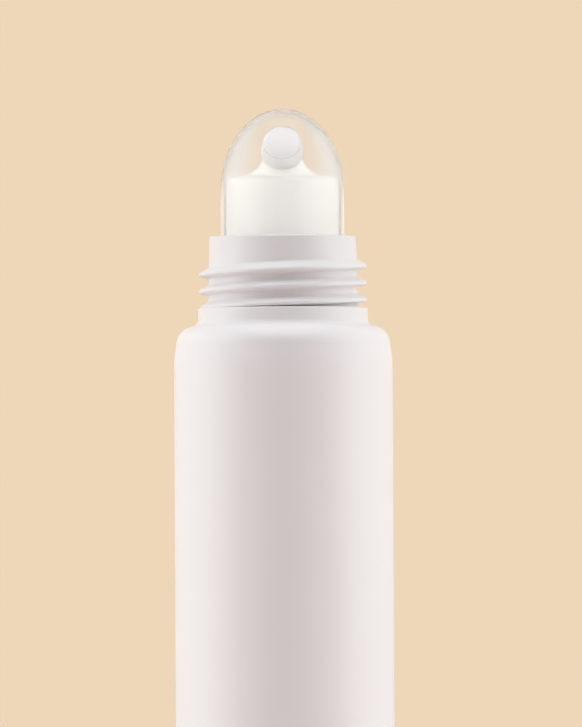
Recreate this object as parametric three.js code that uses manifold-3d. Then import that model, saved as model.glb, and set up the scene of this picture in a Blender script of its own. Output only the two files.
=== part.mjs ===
// A squeeze tube of lip balm with its screw closure off: a soft sleeve with a heat-sealed tail, a
// moulded shoulder with a threaded neck, and a clear dome applicator plugged into that neck on a white
// core. The balm fills the sleeve and the core, and comes out of a round mouth in the dome's front.
// Millimetres, +Z up, the front faces -Y, and the origin is the middle of the tail's bottom edge.
import * as THREE from "three";
import { mergeVertices } from "three/addons/utils/BufferGeometryUtils.js";
import Module from "manifold-3d";

const wasm = await Module();
wasm.setup();

// Sleeve
const tubeDiameter = 19;
const sleeveWall = 0.5;
const cylinderLength = 35;
const taperLength = 42;
const taperPower = 1.7;
const sealHeight = 6.5;
const sealEdgeSharpness = 8;
const weldShort = 0.0175;
const topDrawIn = 0.17;
const drawInLength = 1.7;

// Shoulder, collar and neck
const shoulderRadius = 1.75;
const shoulderWall = 1.2;
const skirtDepth = 3;
const skirtWall = 0.8;
const skirtFit = 0.1;
const collarDiameter = 14.8;
const collarHeight = 1.555;
const collarDraft = 0.02;
const collarFillet = 0.55;
const neckDiameter = 13;
const neckHeight = 6.22;
const neckDraft = 0.115;
const edgeRound = 0.15;
const throatDiameter = 8.4;
const plugDepth = 7;

// Neck thread: the crest runs down from threadTop below the rim, measured on the +X side
const threadDiameter = 14.54;
const threadPitch = 1.47;
const threadTop = 2.68;
const threadStartTurn = 0.28;
const threadTurns = 2.95;
const threadRunOut = 0.17;
const threadCrestWidth = 0.45;
const threadUpperFlank = 0.55;
const threadLowerFlank = 0.22;
const threadRootSink = 0.3;

// Clear dome applicator
const domeDiameter = 10.8;
const domeStraight = 3.8;
const domeCrown = 7.32;
const boreFit = 0.1;
const snapBeadHeight = 0.25;
const snapBeadWidth = 0.9;
const snapBeadDrop = 3.5;

// White core that carries the dome
const coreDiameter = 7.5;
const coreRise = 5.05;
const coreEdgeRadius = 0.45;
const coreTopWall = 1.2;
const coreBoreDiameter = 3.8;
const coreFlange = 1.1;
const coreFit = 0.08;

// Outlet in the dome's front, square to the surface at outletRise above the rim
const outletDiameter = 3.3;
const outletRise = 8.13;
const outletCupLength = 2.1;
const feedDiameter = 2.7;

// Balm
const balmGap = 0.3;
const beadGap = 0.08;
const tailRoom = 0.2;

// Facet counts
const aroundSleeve = 48;
const aroundNeck = 48;
const aroundDome = 40;
const aroundCore = 36;
const aroundFill = 24;
const aroundOutlet = 20;
const threadStepsPerTurn = 36;
const taperSteps = 10;

// Levels and radii that follow from the sizes above
const tubeRadius = tubeDiameter / 2;
const headRadius = tubeRadius - topDrawIn;
const collarRadius = collarDiameter / 2;
const neckRadius = neckDiameter / 2;
const neckTopRadius = neckRadius - neckDraft;
const domeRadius = domeDiameter / 2;
const boreRadius = domeRadius + boreFit;
const coreRadius = coreDiameter / 2;
const coreBoreRadius = coreBoreDiameter / 2;
const outletRadius = outletDiameter / 2;
const feedRadius = feedDiameter / 2;
const throatRadius = throatDiameter / 2;
const skirtOuter = headRadius - sleeveWall - skirtFit;
const skirtInner = skirtOuter - skirtWall;
const sealHalfWidth = (Math.PI / 2) * (tubeRadius - sleeveWall / 2);

const taperTopZ = sealHeight + taperLength;
const seamZ = taperTopZ + cylinderLength;
const shoulderCentre = headRadius - shoulderRadius;
const shoulderTopZ = seamZ + Math.sqrt(shoulderRadius ** 2 - (collarRadius - shoulderCentre) ** 2);
const undersideZ = shoulderTopZ - shoulderWall;
const collarTopZ = shoulderTopZ + collarHeight;
const rimZ = collarTopZ + neckHeight;
const ledgeZ = rimZ - plugDepth;
const flangeTopZ = ledgeZ + coreFlange;
const coreTopZ = rimZ + coreRise;
const crownZ = rimZ + domeStraight;
const snapZ = rimZ - snapBeadDrop;

// The outlet's mouth lies on the crown's ellipse, and its axis is the ellipse's normal there.
const mouthZ = rimZ + outletRise;
const mouthDepth = domeRadius * Math.sqrt(1 - ((mouthZ - crownZ) / domeCrown) ** 2);
const outletAxis = new THREE.Vector3(
  0,
  -mouthDepth / domeRadius ** 2,
  (mouthZ - crownZ) / domeCrown ** 2,
).normalize();
const mouth = new THREE.Vector3(0, -mouthDepth, mouthZ);
const elbowToMouth = -mouthDepth / outletAxis.y;
const elbow = mouth.clone().addScaledVector(outletAxis, -elbowToMouth);

// A closed three.js geometry as a solid that can be joined and cut.
function solid(geometry) {
  const bare = geometry.clone();
  bare.deleteAttribute("normal");
  bare.deleteAttribute("uv");
  const merged = mergeVertices(bare);
  const vertProperties = merged.attributes.position.array;
  const triVerts = new Uint32Array(merged.index.array);
  return new wasm.Manifold(new wasm.Mesh({ numProp: 3, vertProperties, triVerts }));
}

function geometryOf(body) {
  const { vertProperties, triVerts } = body.getMesh();
  const geometry = new THREE.BufferGeometry();
  geometry.setAttribute("position", new THREE.BufferAttribute(vertProperties, 3));
  geometry.setIndex(new THREE.BufferAttribute(triVerts, 1));
  geometry.computeVertexNormals();
  return geometry;
}

// Turns a profile of [radius, height] pairs about Z. It runs up the outside and down the inside.
function revolve(profile, around) {
  const points = profile.map(([radius, height]) => new THREE.Vector2(radius, height));
  return new THREE.LatheGeometry(points, around).rotateX(Math.PI / 2);
}

function revolveRing(profile, around) {
  return revolve([...profile, profile[0]], around);
}

// Points on an elliptical arc in a profile, angles in degrees from the radial direction.
function arc(centreRadius, centreHeight, radiusAcross, radiusUp, from, to, steps) {
  return Array.from({ length: steps + 1 }, (_, i) => {
    const angle = THREE.MathUtils.degToRad(from + ((to - from) * i) / steps);
    return [
      Math.max(centreRadius + radiusAcross * Math.cos(angle), 0),
      centreHeight + radiusUp * Math.sin(angle),
    ];
  });
}

// Skins a row of equal closed loops and closes both ends with a fan. Loops turn by the right-hand rule.
function loft(loops) {
  const count = loops[0].length;
  const ends = [loops[0], loops.at(-1)];
  const centres = ends.map((loop) =>
    loop.reduce((sum, point) => sum.add(point), new THREE.Vector3()).divideScalar(count),
  );
  const vertices = [...loops.flat(), ...centres].flatMap((point) => point.toArray());
  const firstCentre = loops.length * count;
  const lastLoop = (loops.length - 1) * count;
  const faces = [];
  for (let i = 0; i < count; i++) {
    const next = (i + 1) % count;
    for (let low = 0; low < lastLoop; low += count) {
      const high = low + count;
      faces.push(low + i, low + next, high + next);
      faces.push(low + i, high + next, high + i);
    }
    faces.push(firstCentre, next, i);
    faces.push(firstCentre + 1, lastLoop + i, lastLoop + next);
  }
  const geometry = new THREE.BufferGeometry();
  geometry.setAttribute("position", new THREE.Float32BufferAttribute(vertices, 3));
  geometry.setIndex(faces);
  return geometry;
}

// One level of the flattened sleeve: flatness 0 is a circle, and 1 the flat seal of the same girth.
// inset is the distance in from the sleeve's outside, and sealHalf the half thickness when flat.
function sleeveLoop(height, flatness, inset, sealHalf, around) {
  const radius = tubeRadius - inset;
  const halfWidth = sealHalfWidth - inset;
  return Array.from({ length: around }, (_, i) => {
    const angle = (2 * Math.PI * i) / around;
    const unrolled = 1 - (2 / Math.PI) * Math.min(angle, 2 * Math.PI - angle);
    const squared = THREE.MathUtils.clamp(sealEdgeSharpness * Math.sin(angle), -1, 1);
    return new THREE.Vector3(
      (1 - flatness) * radius * Math.cos(angle) + flatness * halfWidth * unrolled,
      (1 - flatness) * radius * Math.sin(angle) + flatness * sealHalf * squared,
      height,
    );
  });
}

// Loops of the taper from its narrow end up, stopping short of the seal by a share of the taper.
function taperLoops(inset, sealHalf, stopShort, around) {
  return Array.from({ length: taperSteps + 1 }, (_, i) => {
    const drop = (1 - stopShort) * (1 - i / taperSteps);
    return sleeveLoop(taperTopZ - drop * taperLength, drop ** taperPower, inset, sealHalf, around);
  });
}

// Soft sleeve: a round tube, drawn in a little at the head, that flattens down to the welded tail.
function makeSleeve() {
  const headLoops = (inset) => [
    sleeveLoop(seamZ - drawInLength, 0, inset, 0, aroundSleeve),
    sleeveLoop(seamZ, 0, inset + topDrawIn, 0, aroundSleeve),
  ];
  const outside = loft([
    sleeveLoop(0, 1, 0, sleeveWall, aroundSleeve),
    ...taperLoops(0, sleeveWall, 0, aroundSleeve),
    ...headLoops(0),
  ]);
  const cavity = loft([
    ...taperLoops(sleeveWall, 0, weldShort, aroundSleeve),
    ...headLoops(sleeveWall),
    sleeveLoop(seamZ + sleeveWall, 0, sleeveWall + topDrawIn, 0, aroundSleeve),
  ]);
  return geometryOf(solid(outside).subtract(solid(cavity)));
}

// One right-hand screw ridge that fades into the neck at its top and into the collar at its foot.
function makeThread() {
  const sunkRadius = neckTopRadius - threadRootSink;
  const crestRadius = threadDiameter / 2;
  const steps = Math.round(threadTurns * threadStepsPerTurn);
  const halfCrest = threadCrestWidth / 2;
  const loops = Array.from({ length: steps + 1 }, (_, i) => {
    const turn = threadStartTurn - threadTurns * (1 - i / steps);
    const fromEnd = Math.min(turn - threadStartTurn + threadTurns, threadStartTurn - turn);
    const full = THREE.MathUtils.smoothstep(fromEnd, 0, threadRunOut);
    const crest = THREE.MathUtils.lerp(sunkRadius + threadRootSink / 2, crestRadius, full);
    const middle = rimZ - threadTop + threadPitch * turn;
    const section = [
      [sunkRadius, middle + halfCrest + threadUpperFlank],
      [crest, middle + halfCrest],
      [crest, middle - halfCrest],
      [sunkRadius, middle - halfCrest - threadLowerFlank],
    ];
    const angle = 2 * Math.PI * turn;
    return section.map(
      ([radius, height]) =>
        new THREE.Vector3(radius * Math.cos(angle), radius * Math.sin(angle), height),
    );
  });
  return loft(loops);
}

// Moulded head: a skirt inside the sleeve, the round shoulder, the collar and the bored neck.
function makeShoulderNeck() {
  const collarTopRadius = collarRadius - collarDraft;
  const fillFrom = collarRadius + collarFillet;
  const filletReach = shoulderRadius + collarFillet;
  const arcEnd = THREE.MathUtils.radToDeg(Math.acos((fillFrom - shoulderCentre) / filletReach));
  const filletZ = seamZ + Math.sqrt(filletReach ** 2 - (fillFrom - shoulderCentre) ** 2);
  const innerArc = undersideZ - seamZ;
  const groove = boreRadius + snapBeadHeight;
  const grooveHalf = snapBeadWidth / 2 + boreFit;
  const grooveFloorHalf = snapBeadWidth / 4 + boreFit;
  const profile = [
    [skirtOuter, seamZ - skirtDepth],
    [skirtOuter, seamZ],
    ...arc(shoulderCentre, seamZ, shoulderRadius, shoulderRadius, 0, arcEnd, 7),
    ...arc(fillFrom, filletZ, collarFillet, collarFillet, 180 + arcEnd, 180, 3).slice(1),
    [collarTopRadius, collarTopZ - edgeRound],
    [collarTopRadius - edgeRound, collarTopZ],
    [neckRadius, collarTopZ],
    [neckTopRadius, rimZ - edgeRound],
    [neckTopRadius - edgeRound, rimZ],
    [boreRadius, rimZ],
    [boreRadius, snapZ + grooveHalf],
    [groove, snapZ + grooveFloorHalf],
    [groove, snapZ - grooveFloorHalf],
    [boreRadius, snapZ - grooveHalf],
    [boreRadius, ledgeZ],
    [throatRadius, ledgeZ],
    [throatRadius, undersideZ],
    ...arc(skirtInner - innerArc, seamZ, innerArc, innerArc, 90, 0, 4),
    [skirtInner, seamZ - skirtDepth],
  ];
  return geometryOf(solid(revolveRing(profile, aroundNeck)).add(solid(makeThread())));
}

// Places a geometry made along +Z so that its Z axis is the outlet's axis and its origin the elbow.
function alongOutlet(geometry) {
  const turn = new THREE.Quaternion().setFromUnitVectors(new THREE.Vector3(0, 0, 1), outletAxis);
  return geometry.applyQuaternion(turn).translate(elbow.x, elbow.y, elbow.z);
}

// The balm's way through the dome: up from the core, round an elbow and out to the cup.
function feedPassage(radius, fromZ, reach) {
  const riser = [
    [0, fromZ],
    [radius, fromZ],
    ...arc(0, elbow.z, radius, radius, 0, 90, 4),
  ];
  const branch = [...arc(0, 0, radius, radius, -90, 0, 4), [radius, reach], [0, reach]];
  return solid(revolve(riser, aroundOutlet)).add(
    solid(alongOutlet(revolve(branch, aroundOutlet))),
  );
}

const cupFloor = elbowToMouth - outletCupLength;

// A blind round cup along the outlet's axis with a hemispherical floor, up to the given top profile.
function cup(radius, topProfile) {
  const floor = arc(0, cupFloor, radius, radius, -90, 0, 5);
  return alongOutlet(revolve([...floor, ...topProfile], aroundOutlet));
}

// Clear dome: a thick soft cap with a snap bead in the neck and the outlet's cup in its front.
function makeDome() {
  const beadRadius = domeRadius + snapBeadHeight;
  const cavityRadius = coreRadius + coreFit;
  const cavityTopZ = coreTopZ + coreFit;
  const cavityEdge = coreEdgeRadius + coreFit;
  const profile = [
    [cavityRadius, flangeTopZ],
    [domeRadius, flangeTopZ],
    [domeRadius, snapZ - snapBeadWidth / 2],
    [beadRadius, snapZ - snapBeadWidth / 4],
    [beadRadius, snapZ + snapBeadWidth / 4],
    [domeRadius, snapZ + snapBeadWidth / 2],
    ...arc(0, crownZ, domeRadius, domeCrown, 0, 90, 12),
    [0, cavityTopZ],
    ...arc(cavityRadius - cavityEdge, cavityTopZ - cavityEdge, cavityEdge, cavityEdge, 90, 0, 3),
    [cavityRadius, flangeTopZ],
  ];
  const past = elbowToMouth + outletRadius;
  const cutter = solid(cup(outletRadius, [[outletRadius, past], [0, past]]));
  const feed = feedPassage(feedRadius, coreTopZ, cupFloor);
  return geometryOf(solid(revolve(profile, aroundDome)).subtract(cutter).subtract(feed));
}

// White core: a tubular post with a flange that holds the dome's foot down on the neck's ledge.
function makeCore() {
  const edge = coreEdgeRadius;
  const profile = [
    [coreBoreRadius, ledgeZ],
    [domeRadius, ledgeZ],
    [domeRadius, flangeTopZ],
    [coreRadius, flangeTopZ],
    ...arc(coreRadius - edge, coreTopZ - edge, edge, edge, 0, 90, 4),
    [feedRadius, coreTopZ],
    [feedRadius, coreTopZ - coreTopWall],
    [coreBoreRadius, coreTopZ - coreTopWall - (coreBoreRadius - feedRadius)],
  ];
  return revolveRing(profile, aroundCore);
}

// Balm that fills the sleeve, the throat, the core and the feed passage.
function makeFill() {
  const inset = sleeveWall + balmGap;
  const shoulderLowZ = seamZ - skirtDepth - balmGap;
  const belly = loft([
    ...taperLoops(inset, 0, tailRoom, aroundFill),
    sleeveLoop(shoulderLowZ, 0, inset, 0, aroundFill),
  ]);
  const underSkirt = skirtInner - balmGap;
  const boreFill = coreBoreRadius - balmGap;
  const feedFill = feedRadius - balmGap;
  const throatTopZ = ledgeZ - balmGap;
  const coneTopZ = coreTopZ - coreTopWall - balmGap;
  const column = revolve(
    [
      [0, shoulderLowZ - skirtDepth],
      [underSkirt, shoulderLowZ - skirtDepth],
      [underSkirt, seamZ - balmGap],
      [throatRadius - balmGap, undersideZ - balmGap],
      [throatRadius - balmGap, throatTopZ],
      [boreFill, throatTopZ],
      [boreFill, coneTopZ - (boreFill - feedFill)],
      [feedFill, coneTopZ],
      [feedFill, coreTopZ],
      [0, coreTopZ],
    ],
    aroundFill,
  );
  const reach = cupFloor - outletRadius - balmGap;
  const tip = feedPassage(feedFill, coneTopZ, reach);
  return geometryOf(solid(belly).add(solid(column)).add(tip));
}

// The dab of balm in the outlet's cup, flush with the dome, that is pushed out when the tube is squeezed.
function makeBead() {
  const radius = outletRadius - beadGap;
  const domeCurve = elbowToMouth;
  const crownAngle = THREE.MathUtils.radToDeg(Math.acos(radius / domeCurve));
  const face = arc(0, -beadGap, domeCurve, domeCurve, crownAngle, 90, 4);
  return cup(radius, face);
}

function plastic(color, roughness, extra = {}) {
  return new THREE.MeshStandardMaterial({ color, roughness, metalness: 0, ...extra });
}

const sleeveWhite = plastic(0xf1ece8, 0.5);
const neckWhite = plastic(0xf2eeea, 0.35);
const clearSilicone = plastic(0xf4efe6, 0.1, { transparent: true, opacity: 0.4 });
const coreWhite = plastic(0xf3f0ec, 0.4);
const balmWhite = plastic(0xeeeeea, 0.25);

function piece(name, geometry, material) {
  const mesh = new THREE.Mesh(geometry, material);
  mesh.name = name;
  return mesh;
}

const lipBalmTube = new THREE.Group();
lipBalmTube.add(
  piece("sleeve", makeSleeve(), sleeveWhite),
  piece("shoulder_neck", makeShoulderNeck(), neckWhite),
  piece("applicator_dome", makeDome(), clearSilicone),
  piece("applicator_core", makeCore(), coreWhite),
  piece("balm_fill", makeFill(), balmWhite),
  piece("balm_bead", makeBead(), balmWhite),
);

export default lipBalmTube;
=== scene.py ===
# %% [markdown]
# # A lip balm tube with a clear applicator
# The frame holds a squeeze tube at its real size: a soft sleeve welded flat at the tail, a moulded head
# with a screw neck, a clear round-ended applicator on a white core, and the balm inside. This lesson
# keeps every size of that frame and gives each piece its finished surface and its material.

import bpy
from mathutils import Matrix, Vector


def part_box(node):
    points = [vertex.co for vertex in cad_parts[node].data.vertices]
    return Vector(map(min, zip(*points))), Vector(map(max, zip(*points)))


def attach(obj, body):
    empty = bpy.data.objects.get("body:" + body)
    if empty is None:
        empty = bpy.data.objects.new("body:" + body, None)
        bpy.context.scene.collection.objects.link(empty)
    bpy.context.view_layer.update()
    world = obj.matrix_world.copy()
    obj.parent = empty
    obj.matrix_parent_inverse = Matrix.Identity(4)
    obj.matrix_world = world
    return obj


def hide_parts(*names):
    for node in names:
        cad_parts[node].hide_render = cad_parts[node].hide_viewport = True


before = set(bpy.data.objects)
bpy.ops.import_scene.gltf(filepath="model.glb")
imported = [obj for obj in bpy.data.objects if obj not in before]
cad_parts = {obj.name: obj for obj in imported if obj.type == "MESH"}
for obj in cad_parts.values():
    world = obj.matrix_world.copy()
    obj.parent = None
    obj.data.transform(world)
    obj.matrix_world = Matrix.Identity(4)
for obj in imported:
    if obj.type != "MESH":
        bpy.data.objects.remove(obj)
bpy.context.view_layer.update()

# %% [markdown]
# Before any modelling we read the sizes that matter from the frame. The solids there are turned about
# the Z axis, so a corner of a node's box gives a radius or a level directly.

# %% Sizes read from the frame
import math

import bmesh
import bpy
import numpy as np
from mathutils import Matrix, Vector

MM = 0.001
sleeve_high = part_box("sleeve")[1]
dome_low, dome_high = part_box("applicator_dome")
core_low, core_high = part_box("applicator_core")
tube_radius = sleeve_high[1]
seal_half_width = sleeve_high[0]
seam_z = sleeve_high[2]
rim_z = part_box("shoulder_neck")[1][2]
dome_radius = core_high[0]
dome_foot_z, dome_top_z = dome_low[2], dome_high[2]
ledge_z, core_top_z = core_low[2], core_high[2]
print(f"sleeve {2 * tube_radius / MM:.1f} mm, rim at {rim_z / MM:.2f} mm, tip at {dome_top_z / MM:.2f} mm")

# %% [markdown]
# The camera comes first, because every later choice is judged through it. The rims of the neck hardly
# curve, so the lens is long and the eye a little below the neck. A pixel on the sleeve's edges ties the
# image to the real width, and from it we place any other point of the image on the tube's axis plane.

# %% Camera at the photograph's angle
IMAGE_WIDTH, IMAGE_HEIGHT = 582, 727
SLEEVE_WIDTH_PX = 218.4
AXIS_X_PX = 283.3
RIM_Y_PX = 236.3
EYE_LEVEL_Y_PX = 480
CAMERA_DISTANCE = 0.785
CAMERA_ROLL = math.radians(-0.3)
CAMERA_CLIP_START = 10 * MM

scene = bpy.context.scene
scene.view_settings.view_transform = "Standard"
pixel = 2 * tube_radius / SLEEVE_WIDTH_PX


def on_axis_plane(x_px, y_px):
    return Vector(((x_px - AXIS_X_PX) * pixel, 0, rim_z + (RIM_Y_PX - y_px) * pixel))


def make_camera():
    data = bpy.data.cameras.new("studio_camera")
    camera = bpy.data.objects.new("studio_camera", data)
    scene.collection.objects.link(camera)
    eye = on_axis_plane(IMAGE_WIDTH / 2, EYE_LEVEL_Y_PX) + Vector((0, -CAMERA_DISTANCE, 0))
    look = (on_axis_plane(IMAGE_WIDTH / 2, IMAGE_HEIGHT / 2) - eye).to_track_quat("-Z", "Y")
    roll = Matrix.Rotation(CAMERA_ROLL, 4, "Z")
    camera.matrix_world = Matrix.Translation(eye) @ look.to_matrix().to_4x4() @ roll
    data.lens = data.sensor_width * CAMERA_DISTANCE / (IMAGE_HEIGHT * pixel)
    data.clip_start = CAMERA_CLIP_START
    scene.camera = camera
    return camera


camera = make_camera()
print(f"lens {camera.data.lens:.0f} mm at {CAMERA_DISTANCE} m")

# %% [markdown]
# Nodes are wired by a few small helpers. One adds a node and fills its sockets with values or links. One
# does a step of arithmetic, one blends two colours, and one maps a range of values onto another. The
# last two make a node group with named sockets and a material with its shader.

# %% Helpers for node trees
def add(tree, kind, values=None, **settings):
    node = tree.nodes.new(kind)
    for name, value in settings.items():
        setattr(node, name, value)
    for key, value in (values or {}).items():
        if isinstance(value, bpy.types.NodeSocket):
            tree.links.new(value, node.inputs[key])
        else:
            node.inputs[key].default_value = value
    return node


def calc(tree, operation, *values):
    return add(tree, "ShaderNodeMath", dict(enumerate(values)), operation=operation).outputs[0]


def blend(tree, share, first, second):
    """Mixes two colours, which are inputs 6 and 7 and output 2 of the node."""
    colours = {0: share, 6: first, 7: second}
    return add(tree, "ShaderNodeMix", colours, data_type="RGBA").outputs[2]


def remap(tree, value, given=(0.0, 1.0), wanted=(0.0, 1.0), **settings):
    """Maps one range of values onto another, and holds the value at both ends."""
    limits = {"From Min": given[0], "From Max": given[1], "To Min": wanted[0], "To Max": wanted[1]}
    return add(tree, "ShaderNodeMapRange", {"Value": value} | limits, **settings).outputs[0]


def new_group(name, kind, inputs, outputs):
    tree = bpy.data.node_groups.new(name, kind)
    for in_out, sockets in (("INPUT", inputs), ("OUTPUT", outputs)):
        for socket, socket_type in sockets.items():
            tree.interface.new_socket(socket, in_out=in_out, socket_type="NodeSocket" + socket_type)
    given = tree.nodes.new("NodeGroupInput").outputs
    result = tree.nodes.new("NodeGroupOutput").inputs
    return tree, given, result


def new_material(name):
    material = bpy.data.materials.new(name)
    material.use_nodes = True
    tree = material.node_tree
    return material, tree, tree.nodes["Principled BSDF"]


# %% [markdown]
# Plastic is never one flat colour. A moulded or extruded skin has a faint cloudiness in its tone, a
# roughness that drifts a little, and a grain too fine to count. All the plastics here share these, so
# they are one shader group, and each material gives it its own colour and scale.

# %% Shader group: moulded skin
def make_moulded_skin():
    inputs = {
        "Colour": "Color",
        "Cloud Colour": "Color",
        "Cloud Scale": "Float",
        "Roughness Low": "Float",
        "Roughness High": "Float",
        "Grain Scale": "Float",
    }
    outputs = {"Colour": "Color", "Roughness": "Float", "Grain": "Float"}
    tree, given, result = new_group("Moulded skin", "ShaderNodeTree", inputs, outputs)
    place = add(tree, "ShaderNodeTexCoord").outputs["Object"]
    cloud = add(tree, "ShaderNodeTexNoise", {"Vector": place, "Scale": given["Cloud Scale"], "Detail": 3.0})
    tone = blend(tree, cloud.outputs["Fac"], given["Colour"], given["Cloud Colour"])
    grain = add(tree, "ShaderNodeTexNoise", {"Vector": place, "Scale": given["Grain Scale"], "Detail": 2.0})
    drift_range = (given["Roughness Low"], given["Roughness High"])
    drift = remap(tree, grain.outputs["Fac"], wanted=drift_range)
    tree.links.new(tone, result["Colour"])
    tree.links.new(drift, result["Roughness"])
    tree.links.new(grain.outputs["Fac"], result["Grain"])
    return tree


moulded_skin = make_moulded_skin()
print("group:", moulded_skin.name, [s.name for s in moulded_skin.interface.items_tree])

# %% [markdown]
# Four finishes use that group. The sleeve is satin polyethylene, the head a slightly glossier
# polypropylene, the core a plain white moulding, and the balm a smooth paste with a waxy gloss. They
# differ in colour, roughness and grain, so one function makes them all. Above the shoulder the head's
# colour fades to a slightly darker white. This is painted shade, standing in for the shade that falls
# on the collar, neck and thread. The balm also lets light spread inside it, which evens out its shading
# as in any wax.

# %% Materials: white plastics and balm
TUBE_WHITE = (0.885, 0.876, 0.872, 1)
TUBE_CLOUD = (0.868, 0.856, 0.85, 1)
# Painted shade: a darker white for the head above the shoulder, standing in for shade rather than the
# moulding's own colour.
NECK_PAINTED_SHADE = (0.8, 0.795, 0.795, 1)
NECK_SHADE_LOW_Z = seam_z + 1.5 * MM
NECK_SHADE_HIGH_Z = seam_z + 2.8 * MM


def skin_material(name, skin, bump, **constants):
    material, tree, shader = new_material(name)
    group = add(tree, "ShaderNodeGroup", node_tree=moulded_skin)
    for socket, value in skin.items():
        group.inputs[socket].default_value = value
    grain = {"Height": group.outputs["Grain"], "Strength": 1.0, "Distance": bump}
    relief = add(tree, "ShaderNodeBump", grain)
    tree.links.new(group.outputs["Colour"], shader.inputs["Base Color"])
    tree.links.new(group.outputs["Roughness"], shader.inputs["Roughness"])
    tree.links.new(relief.outputs["Normal"], shader.inputs["Normal"])
    for socket, value in constants.items():
        shader.inputs[socket.replace("_", " ")].default_value = value
    return material


def fade_above(material, colour, low_z, high_z):
    """Fades the skin's colour into another one between two heights."""
    tree = material.node_tree
    skin = next(node for node in tree.nodes if node.type == "GROUP").inputs["Colour"]
    place = add(tree, "ShaderNodeTexCoord").outputs["Object"]
    height = add(tree, "ShaderNodeSeparateXYZ", {0: place}).outputs["Z"]
    share = remap(tree, height, (low_z, high_z))
    tree.links.new(blend(tree, share, tuple(skin.default_value), colour), skin)


sleeve_satin = skin_material(
    "sleeve_satin",
    {
        "Colour": TUBE_WHITE,
        "Cloud Colour": TUBE_CLOUD,
        "Cloud Scale": 60.0,
        "Roughness Low": 0.42,
        "Roughness High": 0.52,
        "Grain Scale": 2500.0,
    },
    bump=0.004 * MM,
    IOR=1.5,
)
neck_gloss = skin_material(
    "neck_gloss",
    {
        "Colour": TUBE_WHITE,
        "Cloud Colour": TUBE_CLOUD,
        "Cloud Scale": 150.0,
        "Roughness Low": 0.32,
        "Roughness High": 0.42,
        "Grain Scale": 4000.0,
    },
    bump=0.003 * MM,
    IOR=1.49,
)
# Painted shade: the head's colour darkens above the shoulder to stand in for the shade on the collar, neck
# and thread.
fade_above(neck_gloss, NECK_PAINTED_SHADE, NECK_SHADE_LOW_Z, NECK_SHADE_HIGH_Z)
core_white = skin_material(
    "core_white",
    {
        "Colour": (0.945, 0.93, 0.915, 1),
        "Cloud Colour": (0.93, 0.91, 0.885, 1),
        "Cloud Scale": 200.0,
        "Roughness Low": 0.45,
        "Roughness High": 0.55,
        "Grain Scale": 3000.0,
    },
    bump=0.003 * MM,
    IOR=1.49,
)
balm_paste = skin_material(
    "balm_paste",
    {
        "Colour": (0.93, 0.94, 0.92, 1),
        "Cloud Colour": (0.91, 0.915, 0.88, 1),
        "Cloud Scale": 500.0,
        "Roughness Low": 0.25,
        "Roughness High": 0.4,
        "Grain Scale": 900.0,
    },
    bump=0.02 * MM,
    IOR=1.46,
    Subsurface_Weight=1.0,
    Subsurface_Radius=(1.0, 1.0, 1.0),
    Subsurface_Scale=3.0 * MM,
)

# %% [markdown]
# The applicator is a thick piece of clear soft plastic. Transmission gives it the lens effect
# that makes the narrow core inside look almost as wide as the dome. The index is a little below that of
# solid silicone, which keeps the dome's rim from going dark. The wall is smooth, and the crown has the
# soft satin that a moulding gets from its steel, so what lies behind it is a little blurred.

# %% Material: clear silicone
SILICONE_TINT = (0.98, 0.975, 0.965, 1)
SILICONE_CLEARNESS = 0.84
SILICONE_INDEX = 1.3
HAZE_SCALE = 700.0
WALL_ROUGHNESS = (0.02, 0.05)
CROWN_SATIN = 0.2
SATIN_LOW_Z = rim_z + 2.5 * MM
SATIN_HIGH_Z = rim_z + 5.0 * MM


def make_silicone():
    material, tree, shader = new_material("clear_silicone")
    place = add(tree, "ShaderNodeTexCoord").outputs["Object"]
    haze = add(tree, "ShaderNodeTexNoise", {"Vector": place, "Scale": HAZE_SCALE, "Detail": 2.0})
    wall = remap(tree, haze.outputs["Fac"], wanted=WALL_ROUGHNESS)
    height = add(tree, "ShaderNodeSeparateXYZ", {0: place}).outputs["Z"]
    satin = remap(tree, height, (SATIN_LOW_Z, SATIN_HIGH_Z), (0.0, CROWN_SATIN))
    tree.links.new(calc(tree, "ADD", wall, satin), shader.inputs["Roughness"])
    shader.inputs["Base Color"].default_value = SILICONE_TINT
    shader.inputs["Transmission Weight"].default_value = SILICONE_CLEARNESS
    shader.inputs["IOR"].default_value = SILICONE_INDEX
    return material


clear_silicone = make_silicone()
print("materials:", [m.name for m in bpy.data.materials])

# %% [markdown]
# Meshes come from rows of points. `turned` spins a closed profile of (radius, height) points about Z,
# `capped` closes a stack of rings at both ends, and `close_mesh` merges the points that meet. `new_piece`
# makes an object whose mesh already lies at its real place.

# %% Helpers for meshes
MERGE_DISTANCE = 0.002 * MM
SLIVER_LENGTH = 0.001 * MM
SHARP_ANGLE = math.radians(35)


def new_piece(name, mesh, material):
    piece = bpy.data.objects.new(name, mesh)
    scene.collection.objects.link(piece)
    if not mesh.materials:
        mesh.materials.append(material)
    return piece


def grid_mesh(name, rows):
    """Skins rows of points, each row a closed loop, with quads that face away from the loops' axis."""
    count = len(rows[0])
    points = np.concatenate(rows)
    faces = [
        (low + i, low + (i + 1) % count, low + count + (i + 1) % count, low + count + i)
        for low in range(0, len(points) - count, count)
        for i in range(count)
    ]
    mesh = bpy.data.meshes.new(name)
    mesh.from_pydata(points.tolist(), [], faces)
    return mesh


def close_mesh(mesh):
    body = bmesh.new()
    body.from_mesh(mesh)
    bmesh.ops.remove_doubles(body, verts=body.verts, dist=MERGE_DISTANCE)
    bmesh.ops.dissolve_degenerate(body, edges=body.edges, dist=SLIVER_LENGTH)
    open_edges = sum(not edge.is_manifold for edge in body.edges)
    bmesh.ops.recalc_face_normals(body, faces=body.faces)
    body.to_mesh(mesh)
    body.free()
    mesh.shade_smooth()
    mesh.set_sharp_from_angle(angle=SHARP_ANGLE)
    print(f"{mesh.name}: {len(mesh.polygons)} faces, {open_edges} open edges")
    return mesh


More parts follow.
